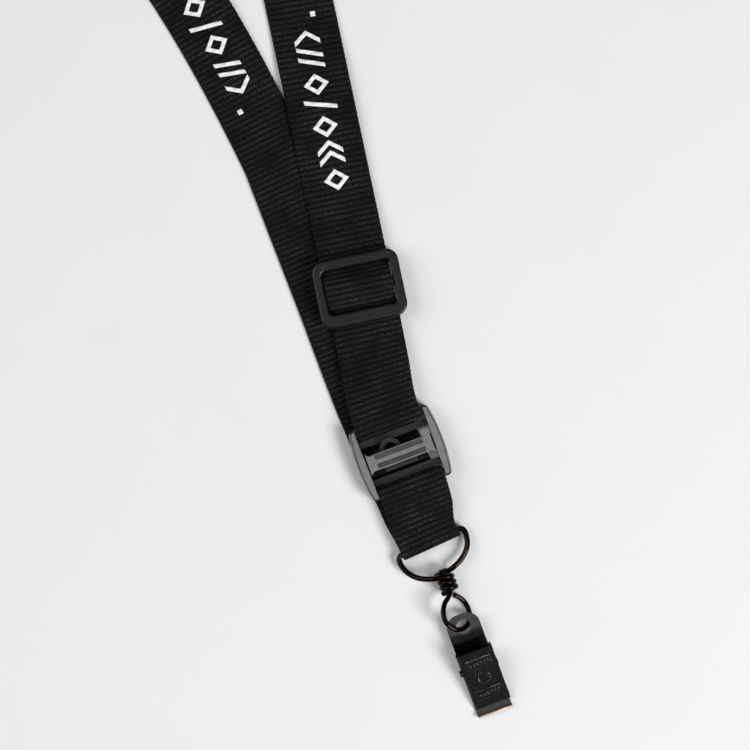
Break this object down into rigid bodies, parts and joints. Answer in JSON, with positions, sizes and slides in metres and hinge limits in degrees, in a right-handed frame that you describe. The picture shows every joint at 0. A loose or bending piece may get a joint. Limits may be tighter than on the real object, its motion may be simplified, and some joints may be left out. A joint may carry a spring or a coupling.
{
  "type": "lanyard badge holder",
  "caption": "Black webbing neck lanyard, 20 mm wide, lying flat, with an adjuster slider, a release buckle, a wire swivel ring and a bulldog badge clip.",
  "frame": {"origin": "bottom centre of the box round everything but the neck strap's own nodes, on the surface it lies on", "axes": "+Y along the lanyard to the neck end, +X to the wearer's left when the print faces out, +Z out of the printed face"},
  "size_m": [0.1378, 0.5071, 0.02],
  "materials": {
    "webbing": "black woven polyester, matt with a faint sheen on its ribs",
    "thread": "black sewing thread",
    "slider_plastic": "black moulded acetal with a fine grain",
    "buckle_plastic": "grey moulded plastic with a fine grain",
    "wire": "black nickel plated steel wire",
    "clip_steel": "black lacquered pressed steel",
    "spring_steel": "oiled spring steel"
  },
  "bodies": {
    "neck_strap": {"neck_strap_right": "webbing", "neck_strap_back": "webbing", "neck_strap_left": "webbing", "strap_above_slider": "webbing", "left_leg_lower": "webbing", "adjuster_loop": "webbing", "buckle_socket": "buckle_plastic"},
    "slider": {"slider_frame": "slider_plastic", "sewn_end": "webbing", "strap_over_bar": "webbing", "slider_bartack": "thread"},
    "plug": {"buckle_plug": "buckle_plastic", "lower_strap": "webbing", "plug_bartack": "thread"},
    "arm_left": {"latch_arm_left": "buckle_plastic"},
    "arm_right": {"latch_arm_right": "buckle_plastic"},
    "ring": {"swivel_ring": "wire"},
    "eye": {"swivel_eye": "wire"},
    "clip": {"clip_base_plate": "clip_steel", "pivot_pin": "clip_steel", "torsion_spring": "spring_steel"},
    "lever": {"clip_lever": "clip_steel"}
  },
  "joints": [
    {"name": "slider_slide", "type": "slide", "parent": "neck_strap", "child": "slider", "axis": [0.1478, 0.989, 0], "range_m": [-0.02, 0.03], "deforming": ["strap_above_slider", "adjuster_loop"]},
    {"name": "plug_release", "type": "slide", "parent": "neck_strap", "child": "plug", "axis": [0, -1, 0], "range_m": [0, 0.012], "deforming": ["left_leg_lower"]},
    {"name": "arm_squeeze_left", "type": "hinge", "parent": "plug", "child": "arm_left", "pos_m": [-0.01887, -0.03859, 0.004], "axis": [0, 0, -1], "range_deg": [0, 1.7], "stiffness_Nm_per_rad": 0.02},
    {"name": "arm_squeeze_right", "type": "hinge", "parent": "plug", "child": "arm_right", "pos_m": [0.00403, -0.03859, 0.004], "axis": [0, 0, 1], "range_deg": [0, 1.7], "stiffness_Nm_per_rad": 0.02},
    {"name": "ring_swing", "type": "hinge", "parent": "plug", "child": "ring", "pos_m": [-0.00842, -0.05659, 0.00195], "axis": [0.9976, 0.0698, 0], "range_deg": [-110, 110]},
    {"name": "eye_swivel", "type": "hinge", "parent": "ring", "child": "eye", "pos_m": [-0.00782, -0.06919, 0.003], "axis": [0, 1, 0], "continuous": true},
    {"name": "clip_swing", "type": "hinge", "parent": "eye", "child": "clip", "pos_m": [-0.00782, -0.08324, 0.003], "axis": [1, 0, 0], "range_deg": [-10, 20]},
    {"name": "lever_press", "type": "hinge", "parent": "clip", "child": "lever", "pos_m": [-0.00782, -0.09589, 0.0026], "axis": [-1, 0, 0], "range_deg": [0, 22], "stiffness_Nm_per_rad": 0.03, "springref_deg": -11.46}
  ]
}
